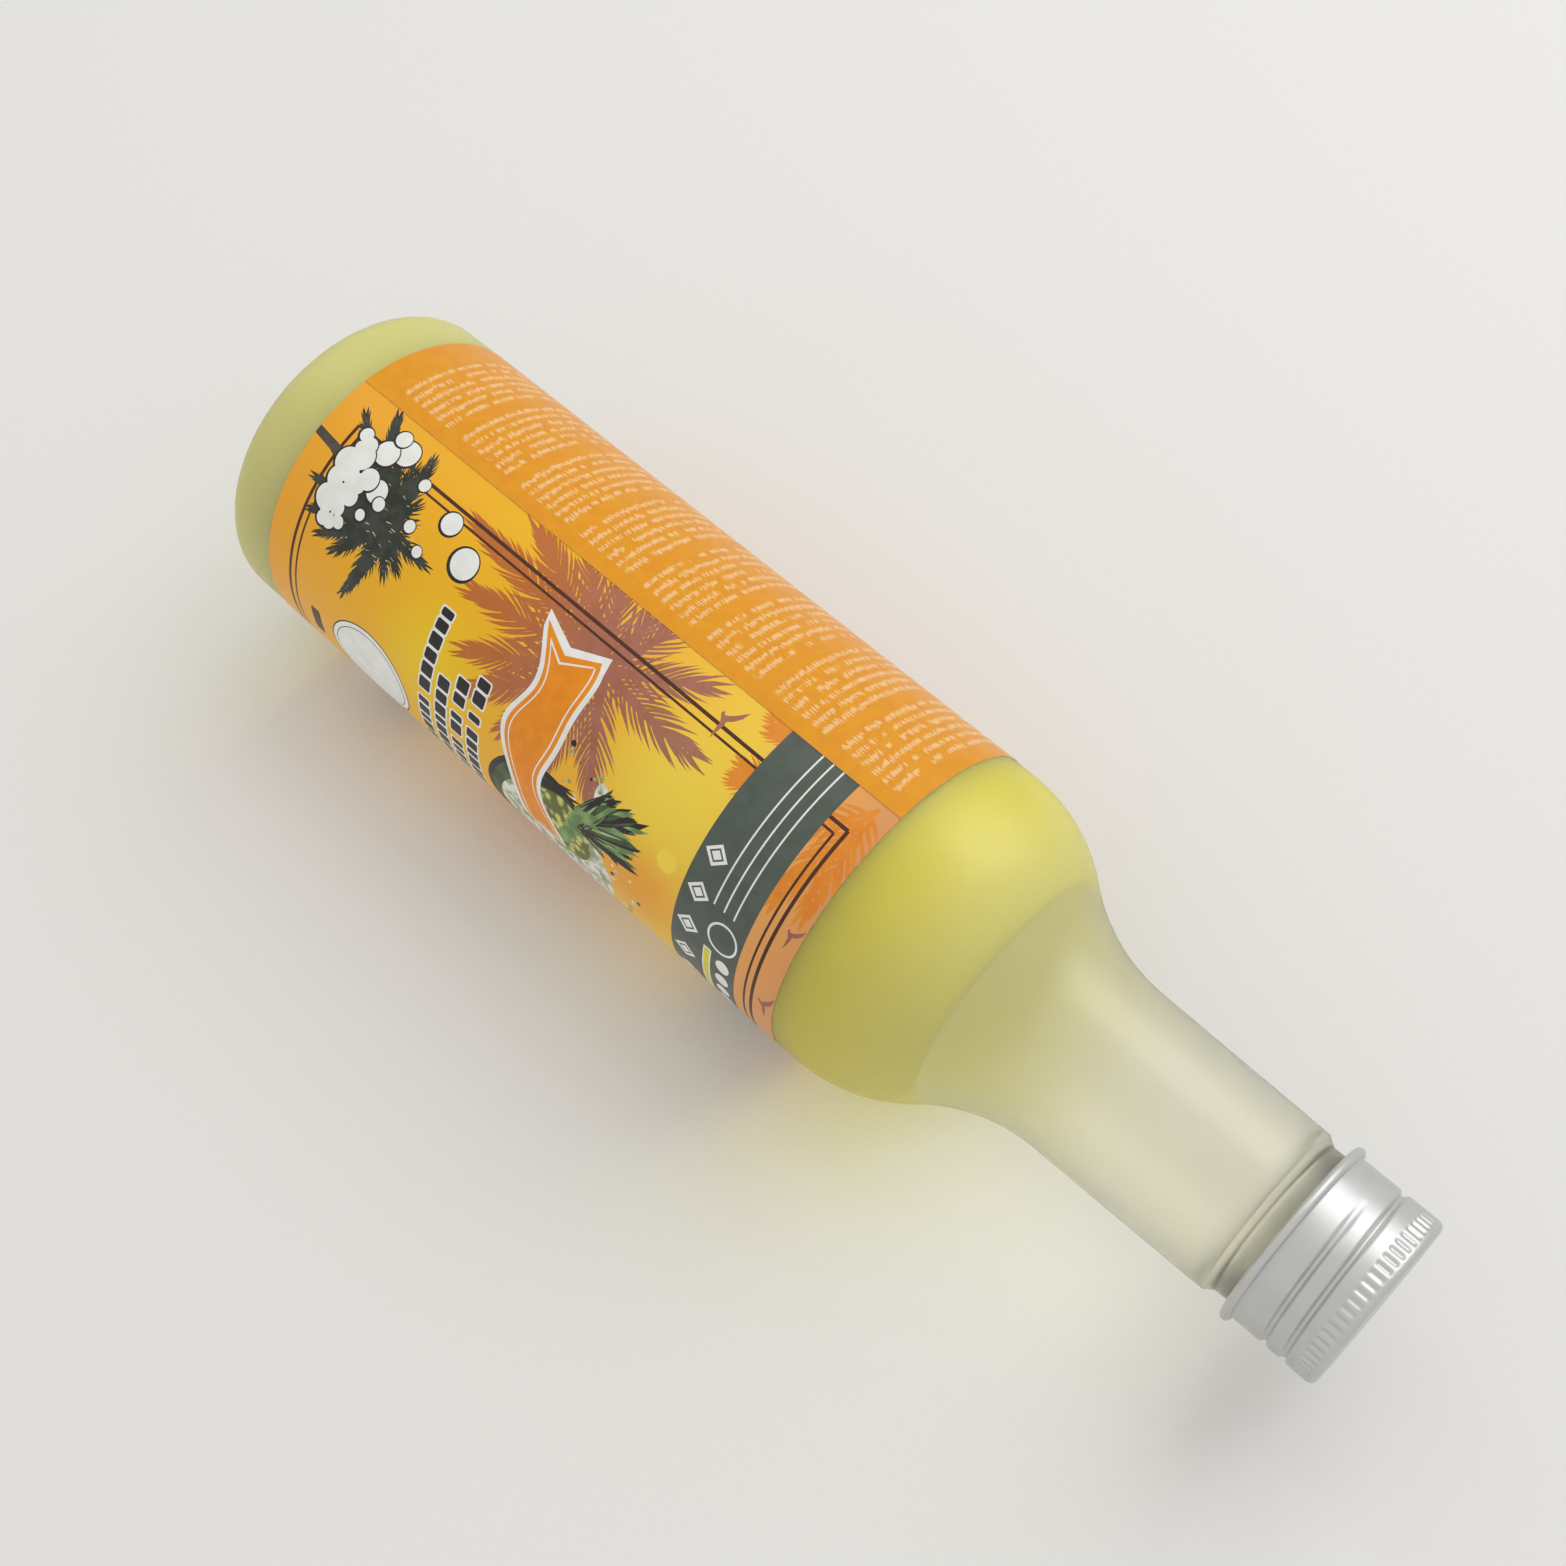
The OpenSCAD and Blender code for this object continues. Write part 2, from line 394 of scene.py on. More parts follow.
def make_bottle():
    """The bottle's shell: base, heel, body, shoulder, neck, stepped-in finish with its thread, and the cavity."""
    step = 0.3
    outer = outline(0)
    outer += arc(NECK_TOP_R - step, FINISH_Z - step, step, 20, 80, 4)
    outer += [(FINISH_R + 0.25, FINISH_Z + FINISH_CHAMFER - 0.25)]
    outer += [(FINISH_R + 0.05, FINISH_Z + FINISH_CHAMFER), (FINISH_R, FINISH_Z + FINISH_CHAMFER + 0.4)]
    thread_low, thread_high = NECK_THREAD_Z - 1.0, RIM_Z - 0.6
    outer += [(FINISH_R, FINISH_Z + 2.5 + (thread_low - FINISH_Z - 2.5) * i / 6) for i in range(7)]
    outer += [(FINISH_R, thread_low + (thread_high - thread_low) * i / 44) for i in range(1, 45)]
    outer += arc(FINISH_R - 0.4, RIM_Z - 0.4, 0.4, 0, 90, 5)
    inner = [(MOUTH_R + 0.2, RIM_Z), (MOUTH_R, RIM_Z - 0.2), (MOUTH_R, FINISH_Z + FINISH_CHAMFER)]
    inner += [(MOUTH_R + 0.6, FINISH_Z + 0.4)]
    inner += outline(WALL)[::-1]

    def radius(r, z, angle):
        if z < thread_low or abs(r - FINISH_R) > 0.01:
            return r
        return r + THREAD_H * thread_depth(z, angle, NECK_THREAD_Z, THREAD_TURNS, RIDGE_W)

    verts, faces = revolve(outer + inner, BOTTLE_STEPS, radius)
    bottle = new_object("bottle_shell", verts, faces)
    bottle.data.materials.append(frosted_plastic())
    bottle.data.materials.append(smooth_plastic())
    first = (len(outer) - 1) * BOTTLE_STEPS
    bottle.data.polygons.foreach_set("material_index", [int(i >= first) for i in range(len(faces))])
    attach(bottle, "bottle_body")
    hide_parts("bottle")
    return bottle


def make_shampoo():
    """The liquid fills the cavity up to its level, with a small meniscus at the wall."""
    level = liquid_high.z
    skin = 0.04
    points = [(r, z) for r, z in outline(WALL - skin) if z < level]
    r_top = BODY_R - SHOULDER_R + math.sqrt((SHOULDER_R - WALL) ** 2 - (level - SHOULDER_Z) ** 2)
    if level > SHOULDER_Z + SHOULDER_R * math.sin(BEND):
        r_top = NECK_FOOT_R + THROAT_R - math.sqrt((THROAT_R + WALL) ** 2 - (NECK_Z - level) ** 2)
    points += [(r_top + skin, level), (r_top - 0.5, level - 0.35), (r_top - 1.6, level - 0.6)]
    points += [(r_top * 0.5, level - 0.65), (0, level - 0.65)]
    verts, faces = revolve(points, ROUND_STEPS)
    liquid = new_object("shampoo_liquid", verts, faces)
    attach(liquid, "bottle_body")
    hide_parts("shampoo")
    return liquid


def make_cap():
    """Spun aluminium cap: rounded corner, fluted band, rolled thread groove, plain skirt and a curled bead."""
    top, bottom = cap_high.z, cap_low.z
    band_high = top - CAP_CORNER + 0.1
    band_low = band_high - FLUTE_L
    profile = [(0, top), (4, top), (8, top), (11, top), (12.2, top)]
    profile += arc(CAP_R - CAP_CORNER, top - CAP_CORNER, CAP_CORNER, 90, 0, 9)
    bead_x, bead_z = CAP_IN_R + BEAD_R, bottom + BEAD_R
    bead_start = math.degrees(math.acos((CAP_R - bead_x) / BEAD_R))
    skirt_top, skirt_low = top - CAP_CORNER, bead_z + BEAD_R * math.sin(math.radians(bead_start))
    profile += [(CAP_R, skirt_top + (skirt_low - skirt_top) * i / 62) for i in range(1, 62)]
    profile += arc(bead_x, bead_z, BEAD_R, bead_start, -180, 20)
    inside = len(profile)
    inner_top = top - CAP_T
    profile += [(CAP_IN_R, bead_z + (inner_top - bead_z) * i / 30) for i in range(1, 30)]
    profile += [(CAP_IN_R - 0.1, inner_top), (8, inner_top), (0, inner_top)]

    def radius(r, z, angle):
        if abs(r - CAP_R) < 1e-6:
            groove = GROOVE_D * thread_depth(z, angle, GROOVE_Z, GROOVE_TURNS, RIDGE_W, 0.15)
            wave = 0.5 + 0.5 * math.cos(math.radians(angle * FLUTES))
            ends = max(0.0, min(1.0, (z - band_low) / 0.25, (band_high - z) / 0.35))
            return r - groove - FLUTE_D * ends * wave**1.5
        if abs(r - CAP_IN_R) < 1e-6:
            return r - GROOVE_D * thread_depth(z, angle, GROOVE_Z, GROOVE_TURNS, RIDGE_W)
        return r

    verts, faces = revolve(profile, FLUTES * STEPS_IN_FLUTE, radius)
    cap = new_object("cap_shell", verts, [f[::-1] for f in faces])
    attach(cap, "cap_body")
    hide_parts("cap")
    return cap


def make_liner():
    """Foamed disc with a soft edge and the ring that the rim has pressed into it."""
    low, high, r = liner_low.z, liner_high.z, liner_high.x
    profile = [(0, high), (r - 0.25, high)] + arc(r - 0.25, high - 0.25, 0.25, 90, 0, 4)[1:]
    profile += arc(r - 0.25, low + 0.25, 0.25, 0, -90, 4)
    profile += [(FINISH_R + 0.05, low), (FINISH_R - 0.1, low + 0.06)]
    profile += [(MOUTH_R + 0.1, low + 0.06), (MOUTH_R, low), (0, low)]
    verts, faces = revolve(profile, ROUND_STEPS)
    liner = new_object("liner_disc", verts, [f[::-1] for f in faces])
    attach(liner, "liner_body")
    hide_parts("cap_liner")
    return liner


# ---------------------------------------------------------------- printed label
# The print is drawn flat, in millimetres: a runs round the bottle from the middle of the front panel, and u is the
# height over the label's lower edge.

INKS = []


def ink(name):
    if name not in INKS:
        INKS.append(name)
    return INKS.index(name)


class Print:
    """Shapes on the flat label, each with its ink. A later shape covers an earlier one."""

    def __init__(self):
        self.shapes = []

    def polygon(self, name, points):
        area = sum(p[0] * q[1] - q[0] * p[1] for p, q in zip(points, points[1:] + points[:1]))
        self.shapes.append((ink(name), points if area > 0 else points[::-1]))

    def box(self, name, a0, a1, u0, u1):
        self.polygon(name, [(a0, u0), (a1, u0), (a1, u1), (a0, u1)])

    def bar(self, name, a0, a1, u0, u1, r):
        """A bar with round corners."""
        points = arc(a1 - r, u0 + r, r, -90, 0, 3) + arc(a1 - r, u1 - r, r, 0, 90, 3)
        self.polygon(name, points + arc(a0 + r, u1 - r, r, 90, 180, 3) + arc(a0 + r, u0 + r, r, 180, 270, 3))

    def disc(self, name, a, u, r, r_up=None, turn=0.0):
        r_up = r_up or r
        c, s = math.cos(math.radians(turn)), math.sin(math.radians(turn))
        steps = max(12, min(48, int(r * 12)))
        ring = [(r * math.cos(2 * math.pi * i / steps), r_up * math.sin(2 * math.pi * i / steps)) for i in range(steps)]
        self.polygon(name, [(a + x * c - y * s, u + x * s + y * c) for x, y in ring])

    def bubble(self, a, u, r):
        """A white bubble whose dark outline is heavier on its lower right."""
        self.disc("outline", a + 0.06 * r, u - 0.04 * r, r + 0.08)
        self.disc("white", a, u, 0.88 * r)

    def blade(self, name, a, u, angle, length, width, curl=0.0, steps=5):
        """A slim leaf from (a, u), bending by curl degrees towards its tip."""
        left, right = [], []
        for i in range(steps + 1):
            s = i / steps
            w = width / 2 * (1 - s) ** 0.7 * (0.75 + 0.9 * s)
            way = math.radians(angle)
            left.append((a - w * math.sin(way), u + w * math.cos(way)))
            right.append((a + w * math.sin(way), u - w * math.cos(way)))
            a += length / steps * math.cos(way)
            u += length / steps * math.sin(way)
            angle += curl / steps
        self.polygon(name, right[:-1] + [left[-1]] + left[-2::-1])

    def palm(self, name, a, u, fronds, leaf, web, seed, gap):
        """Fronds (angle, length, droop) about (a, u): a webbed rib with slim leaflets on both sides."""
        rng = random.Random(seed)
        for angle, length, droop in fronds:
            pull = -1 if math.cos(math.radians(angle)) > 0 else 1
            self.blade(name, a, u, angle, length, web, pull * droop, 8)
            steps = max(8, int(length / gap))
            x, y = a, u
            for i in range(1, steps + 1):
                s = i / steps
                way = angle + pull * droop * (s - 0.5 / steps)
                x += length / steps * math.cos(math.radians(way))
                y += length / steps * math.sin(math.radians(way))
                size = leaf * (0.45 + 0.75 * math.sin(math.pi * min(1, 0.15 + 0.72 * s))) * rng.uniform(0.85, 1.1)
                for side in (-1, 1):
                    fan = side * (50 - 34 * s) + rng.uniform(-4, 4)
                    self.blade(name, x, y, way + fan, size, 0.62 * gap, -side * 18, 3)
        self.disc(name, a, u, 0.6 * web)

    def bird(self, name, a, u, size, turn=0.0):
        """A gull seen from far off: one long wing raised, one level, and a short tail."""
        c, s = size * math.cos(math.radians(turn)), size * math.sin(math.radians(turn))
        shape = [(-1, 0.62), (-0.6, 0.3), (-0.32, 0.0), (-0.2, -0.2), (-0.36, -0.34), (-0.2, -0.42), (0.0, -0.26)]
        shape += [(0.18, -0.14), (0.5, -0.12), (1, -0.04), (0.5, 0.06), (0.15, 0.1), (0, 0.06), (-0.2, 0.3)]
        shape += [(-0.56, 0.54)]
        self.polygon(name, [(a + x * c - y * s, u + x * s + y * c) for x, y in shape])


FRONT_HALF = -SEAM_A
LABEL_H = label_high.z - label_low.z
BAND_LOW, BAND_HIGH = 94.0, 107.0
# The film's own grid: the width of a column in millimetres, and the number of rows.
COLUMN_W = 0.95
ROWS = 16
# How far the film's far end lifts over its near end, and over what width.
LAP_SLOPE = 2.0
LAP_CLEARANCE = 0.004


def draw_frame(art):
    """Two thin line frames inside the front panel's edges."""
    for a, low, high, line in ((35.15, 5.5, 110.5, 0.3), (33.65, 6.9, 109.1, 0.2)):
        art.box("frame_brown", -a - line, line - a, low, high)
        art.box("frame_brown", a - line, a + line, low, high)
        art.box("frame_brown", -a, a, low - line, low + line)
        art.box("frame_brown", -a, a, high - line, high + line)


def draw_palms(art):
    """Plum palms left and right, cut by the panel's edges, and orange fronds at the top."""
    plum = [(80, 19, -10), (32, 20, 10), (8, 17, 20), (-22, 21, 12), (-42, 24, 10), (-58, 24, 5), (-80, 25, 2)]
    plum += [(-99, 31, 3), (-112, 25, 0), (-128, 18, 0), (-148, 15, 0), (172, 13, 20), (150, 14, 30), (112, 16, 12)]
    art.palm("plum", -30.8, 65.5, plum, 6.0, 1.8, 3, 1.0)
    right = [(70, 18, 30), (100, 18, 30), (128, 19, 35), (158, 20, 35), (196, 19, 25), (225, 21, 12), (250, 22, 5)]
    art.palm("plum", 34.5, 56.0, right + [(275, 22, 5), (20, 12, 20), (-30, 12, 10)], 5.6, 1.7, 9, 1.0)
    art.palm("frond_orange", -40.0, 111.5, [(10, 17, 12), (-9, 19, 4), (-34, 12, 0)], 4.6, 0.6, 5, 1.35)
    art.palm("frond_orange", -33.0, 98.5, [(-62, 6, 10), (-88, 6, 0)], 3.4, 0.7, 6, 1.0)
    art.palm("frond_orange", -41.5, 99.0, [(-84, 8, 0), (-66, 7, 8)], 3.4, 0.7, 7, 1.0)
    art.palm("frond_orange", 40.0, 97.0, [(196, 16, 20), (225, 17, 15), (252, 15, 5), (172, 12, 20)], 4.6, 0.6, 8, 1.35)
    draw_frame(art)
    birds = [(-18.2, 112.9, 2.4, -6), (-3.6, 113.0, 3.0, 6), (-36.0, 85.6, 3.3, 0), (25.0, 84.0, 2.6, 10)]
    for bird in birds:
        art.bird("plum", *bird)


def draw_band(art):
    """The dark band under the top edge: thin lines, an empty ring, a row of dots, a bar and lozenges."""
    art.box("band", -FRONT_HALF, FRONT_HALF, BAND_LOW, BAND_HIGH)
    for u in (104.0, 102.05, 100.05):
        art.box("white", -FRONT_HALF, -13.8, u - 0.14, u + 0.14)
        art.box("white", 13.8, FRONT_HALF, u - 0.14, u + 0.14)
    art.disc("white", -9.25, 103.4, 2.9)
    art.disc("band", -9.25, 103.4, 2.52)
    for k in range(5):
        art.disc("white", -3.7 + 3.6 * k, 104.5, 1.35)
    art.bar("white", -5.5, 12.0, 100.5, 102.1, 0.2)
    art.bar("sun_yellow", -5.2, 11.7, 100.75, 101.85, 0.15)
    for k in range(7):
        a, u = 6.8 * (k - 3), 96.95
        for name, r in (("white", 1.0), ("band", 0.66), ("white", 0.46)):
            art.polygon(name, [(a - 1.9 * r, u), (a, u - 2.15 * r), (a + 1.9 * r, u), (a, u + 2.15 * r)])


def draw_fruit(art):
    """A pineapple with a crown of blades, in a dark bowl of foam with drops flying off."""
    rng = random.Random(11)
    for k in range(70):
        way, far = rng.uniform(0, 180), rng.uniform(11, 22)
        r = rng.uniform(0.15, 0.6)
        name = "splash" if k % 4 else "outline"
        art.disc(name, 3 + far * math.cos(math.radians(way)), 68 + 0.95 * far * math.sin(math.radians(way)), r)
    art.disc("outline", 1.0, 66.0, 12.6, 12.8)
    art.disc("leaf_dark", 1.2, 66.4, 11.9, 12.1)
    art.disc("splash", 2.2, 68.6, 10.6, 12.6, 8)
    art.disc("splash", 9.0, 74.5, 6.4, 5.4, 20)
    art.disc("splash", -13.6, 76.6, 3.6, 1.5, 18)
    for k in range(9):
        a = -11.5 + 0.4 * k + rng.uniform(-0.2, 0.2)
        art.blade("outline", a, rng.uniform(60, 66), rng.uniform(70, 100), rng.uniform(4, 9), 0.9, 20)
    art.disc("fruit", -3.4, 70.0, 5.8, 6.6, -20)
    for k in range(34):
        way = 72 + 2.6 * k + rng.uniform(-7, 7)
        low = rng.uniform(0, 1)
        a, u = -8.8 + 1.6 * rng.uniform(-1, 1), 73.0 + 2.5 * low
        length = (13.5 - 5.5 * abs(way - 112) / 45) * rng.uniform(0.7, 1.0)
        art.blade("outline", a + 0.25, u - 0.1, way, length + 0.5, 2.3, rng.uniform(-18, 18), 6)
        art.blade("leaf" if k % 3 else "leaf_dark", a, u, way, length, 1.8, rng.uniform(-18, 18), 6)
        art.blade("leaf_light", a + 0.1, u, way + 2, 0.75 * length, 0.55, 0, 4)
    for k in range(16):
        art.blade("leaf", -10 + 0.8 * k, 72.5 - 0.25 * k, rng.uniform(70, 150), rng.uniform(3, 6), 1.5, 20, 4)


def ribbon_points(grow):
    """The blank ribbon in the place of a title: a band that rises and narrows from left to right."""
    top, low = [], []
    for i in range(29):
        s = i / 28
        a = -31.0 + 33.0 * s
        middle = 58.6 + 6.0 * s + 1.9 * math.sin(2 * math.pi * (1.1 * s + 0.05))
        half = 5.0 - 1.9 * s + 0.7 * math.cos(4 * math.pi * s) + grow
        top.append((a, middle + half))
        low.append((a, middle - half))
    fold = (top[0][0] + 2.6, (top[0][1] + low[0][1]) / 2)
    end = (top[-1][0] + grow, (top[-1][1] + low[-1][1]) / 2)
    top[0], low[0] = (top[0][0] - 1.6 * grow, top[0][1]), (low[0][0] - 1.6 * grow, low[0][1])
    return low + [end] + top[::-1] + [(fold[0] - 1.6 * grow, fold[1])]


def draw_words(art):
    """Nothing is written: a blank ribbon, rows of plain blocks, a bare oval, and one small bar."""
    for name, grow in (("white", 0.9), ("ribbon", 0.0), ("white", -0.75), ("ribbon", -1.0)):
        art.polygon(name, ribbon_points(grow))
    rng = random.Random(8)
    for half, low, high in ((17.1, 48.5, 51.0), (14.6, 44.8, 47.3), (12.2, 41.1, 43.6), (22.2, 37.2, 39.7)):
        a = -half
        while a < half - 1.2:
            width = rng.choice((1.4, 1.9, 2.1, 2.4))
            art.bar("white", a - 0.3, a + width + 0.3, low - 0.3, high + 0.3, 0.5)
            art.bar("outline", a, a + width, low, high, 0.35)
            a += width + (1.9 if rng.random() < 0.13 else 0.55)
    art.disc("outline", 0.2, 24.8, 8.4, 9.3)
    art.disc("white", 0.2, 24.8, 8.15, 9.05)
    art.disc("outline", 0.2, 24.8, 7.3, 8.2)
    art.disc("white", 0.2, 24.8, 7.15, 8.05)
    art.bar("frame_brown", -2.9, 3.1, 10.4, 12.6, 0.4)


def draw_foam(art):
    """The dark palm, the foam in front of it and the bubbles that rise from it."""
    dark = [(80, 10.5, -8), (52, 8, 30), (34, 9, 55), (66, 8, 20), (14, 14.5, 40), (-20, 11, 25), (-42, 12.5, 12)]
    dark += [(-62, 14, 5), (-84, 14.5, 0), (-104, 15, 0), (-122, 18, -10), (-140, 17, -8), (158, 12, 42), (176, 9, 20)]
    dark += [(130, 6, 30), (108, 5, 20), (200, 10, 10)]
    art.palm("palm_dark", -26.0, 19.6, dark, 3.0, 3.0, 21, 0.7)
    art.polygon("trunk", [(-31.4, 0), (-29.9, 0), (-29.1, 5.6), (-27.8, 12.0), (-29.4, 12.0), (-30.8, 5.6)])
    rng = random.Random(2)
    for _ in range(26):
        a, u = -25.5 + rng.uniform(-6, 6), 19.5 + rng.uniform(-3, 7)
        art.blade("splash", a, u, rng.uniform(60, 120), rng.uniform(0.5, 1.2), 0.16, 0, 2)
    bubbles = [(-29.1, 36.2, 2.85), (-32.55, 30.05, 2.1), (-25.8, 28.0, 1.1), (-28.1, 24.4, 1.2), (-34.4, 21.9, 1.2)]
    bubbles += [(-36.5, 15.6, 2.5), (-34.5, 12.9, 2.4), (-37.9, 13.3, 1.6), (-28.95, 15.9, 2.2), (-27.6, 17.5, 1.3)]
    for bubble in bubbles:
        art.bubble(*bubble)
    art.disc("outline", -24.4, 15.6, 1.4)
    art.disc("white", -24.4, 15.6, 0.95)
    foam = [(-29.6, 13.4, 1.9), (-27.7, 12.5, 1.3), (-25.6, 12.2, 1.65), (-22.9, 11.2, 1.5), (-21.1, 12.6, 1.2)]
    foam += [(-20.3, 10.8, 1.45), (-20.0, 9.5, 1.3), (-23.2, 8.6, 2.35), (-26.7, 8.6, 2.2), (-29.7, 8.3, 2.5)]
    foam += [(-31.7, 10.0, 2.2), (-33.6, 9.5, 1.55), (-34.7, 7.8, 1.3), (-32.7, 8.3, 1.0), (-27.6, 10.5, 2.3)]
    foam += [(-24.9, 10.3, 2.1), (-21.9, 9.8, 1.8)]
    for a, u, r in foam:
        art.disc("outline", a + 0.1, u - 0.06, r + 0.24)
    for a, u, r in foam:
        art.disc("white", a, u, r - 0.08)
    for a, u, r in ((-29.7, 11.3, 0.28), (-26.7, 9.75, 0.2), (-21.6, 10.4, 0.2), (-21.6, 11.3, 0.14)):
        art.disc("outline", a, u, r)
    art.palm("palm_dark", 27.0, 15.0, [(60 + 26 * k, 11, 20) for k in range(11)], 2.0, 2.8, 31, 0.7)
    bubbles = [(22, 8.0, 2.2), (25, 7.2, 2.4), (28.4, 8.0, 2.3), (31, 6.9, 1.9), (24, 10.4, 1.6)]
    for bubble in bubbles + [(30, 12.4, 1.1), (21, 14, 0.9)]:
        art.bubble(*bubble)


def build_print():
    art = Print()
    draw_palms(art)
    draw_band(art)
    draw_fruit(art)
    draw_words(art)
    draw_foam(art)
    art.box("info", FRONT_HALF, CIRCUMFERENCE - FRONT_HALF, 0, LABEL_H)
    return art


def lap_rise(a):
    """The film's far end lies over its near end: how much further out it runs there."""
    lap_start = CIRCUMFERENCE + SEAM_A - SEAM_W
    s = max(0.0, min(1.0, (a - (lap_start - LAP_SLOPE)) / LAP_SLOPE))
    return (FILM + LAP_CLEARANCE) * s * s * (3 - 2 * s)


def cut_sheet(shapes, rim=()):
    """Cuts the flat film along the shapes' outlines and a grid.

    Gives its points, its faces and each face's topmost shape.
    """
    a_low, a_high = SEAM_A - SEAM_W, CIRCUMFERENCE + SEAM_A
    points, edges, faces, numbers = list(rim), [], [], []

    def line(p, q):
        edges.append((len(points), len(points) + 1))
        points.extend([p, q])

    columns, rows = int((a_high - a_low) / COLUMN_W), ROWS
    for i in range(columns + 1):
        a = a_low + (a_high - a_low) * i / columns
        line((a, 0), (a, LABEL_H))
    for i in range(rows + 1):
        line((a_low, LABEL_H * i / rows), (a_high, LABEL_H * i / rows))
    for number, (_, shape) in enumerate(shapes):
        if max(p[0] for p in shape) > SEAM_A and min(p[0] for p in shape) < a_high:
            faces.append(list(range(len(points), len(points) + len(shape))))
            points.extend(shape)
            numbers.append(number)
    flat, _, cut, _, _, sources = delaunay_2d_cdt([Vector(p) for p in points], edges, faces, 0, 1e-5)
    kept, top = [], []
    for face, source in zip(cut, sources):
        a = sum(flat[v].x for v in face) / len(face)
        u = sum(flat[v].y for v in face) / len(face)
        if a_low < a < a_high and 0 < u < LABEL_H:
            kept.append(face)
            top.append(numbers[max(source)] if source and a > SEAM_A else None)
    used = sorted({v for f in kept for v in f})
    place = {v: i for i, v in enumerate(used)}
    return [tuple(flat[v]) for v in used], [tuple(place[v] for v in f) for f in kept], top


def sheet_rim(faces):
    """The edges of a sheet that only one face has."""
    edges = {(p, q) for f in faces for p, q in zip(f, f[1:] + f[:1])}
    return [(p, q) for p, q in edges if (q, p) not in edges]


def make_label():
    """One closed film, printed outside. The print's outlines cut the film's own mesh, so each ink is a set of faces."""
    art = build_print()
    outer, faces, top = cut_sheet(art.shapes)
    background, paper = ink("sunset"), ink("paper")
    inks = [background if number is None else art.shapes[number][0] for number in top]
    rim = sorted(sheet_rim(faces))
    rim_points = sorted({p for edge in rim for p in edge})
    inner, back, _ = cut_sheet([], [outer[p] for p in rim_points])
    n = len(outer)
    back_rim = sorted({v for edge in sheet_rim(back) for v in edge})
    facing = {}
    for p in rim_points:
        near = min(back_rim, key=lambda v: (inner[v][0] - outer[p][0]) ** 2 + (inner[v][1] - outer[p][1]) ** 2)
        facing[p] = near + n
    faces += [tuple(v + n for v in f[::-1]) for f in back] + [(q, p, facing[p], facing[q]) for p, q in rim]
    inks += [paper] * (len(faces) - len(inks))
    verts, normals = [], []
    for i, (a, u) in enumerate(outer + inner):
        r = LABEL_R + lap_rise(a) - (FILM if i >= n else 0.0)
        c, s = math.cos(a / LABEL_R), math.sin(a / LABEL_R)
        verts.append((r * c, r * s, label_low.z + u))
        normals.append((-c, -s, 0.0) if i >= n else (c, s, 0.0))
    label = new_object("printed_film", verts, faces)
    mesh = label.data
    for name in INKS:
        mesh.materials.append(ink_material(name))
    mesh.polygons.foreach_set("material_index", inks)
    mesh.normals_split_custom_set_from_vertices(normals)
    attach(label, "bottle_body")
    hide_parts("label")
    return label


# ---------------------------------------------------------------- materials

# Each ink's darker and lighter tone.
INK_COLOURS = {
    "info": ((227, 148, 2), (231, 154, 4)),
    "frame_brown": ((70, 32, 14), (78, 38, 16)),
    "plum": ((146, 78, 80), (156, 88, 94)),
    "frond_orange": ((226, 132, 30), (232, 142, 38)),
    "band": ((78, 88, 78), (84, 94, 86)),
    "white": ((234, 234, 228), (242, 242, 238)),
    "sun_yellow": ((222, 208, 44), (234, 220, 60)),
    "splash": ((214, 216, 196), (232, 234, 218)),
    "outline": ((30, 26, 24), (38, 34, 32)),
    "leaf_dark": ((48, 68, 44), (72, 98, 58)),
    "leaf": ((98, 130, 74), (140, 166, 104)),
    "leaf_light": ((150, 176, 116), (180, 198, 146)),
    "fruit": ((158, 160, 62), (198, 196, 104)),
    "ribbon": ((238, 138, 4), (242, 148, 14)),
    "palm_dark": ((38, 44, 32), (58, 64, 54)),
    "trunk": ((72, 62, 56), (84, 74, 66)),
    "paper": ((228, 228, 222), (238, 238, 232)),
}


def flat_place(s):
    """Where a point of the label lies on the flat print, in millimetres: a and u."""
    x, y, z = s.split()
    a = s.math("MULTIPLY", s.math("ARCTAN2", y, x), LABEL_R)
    return a, s.math("MULTIPLY_ADD", z, 1 / MM, -label_low.z)


def flat_vector(s, a, u, across=1.0, up=1.0):
    return s.vector(s.math("MULTIPLY", a, across), s.math("MULTIPLY", u, up))


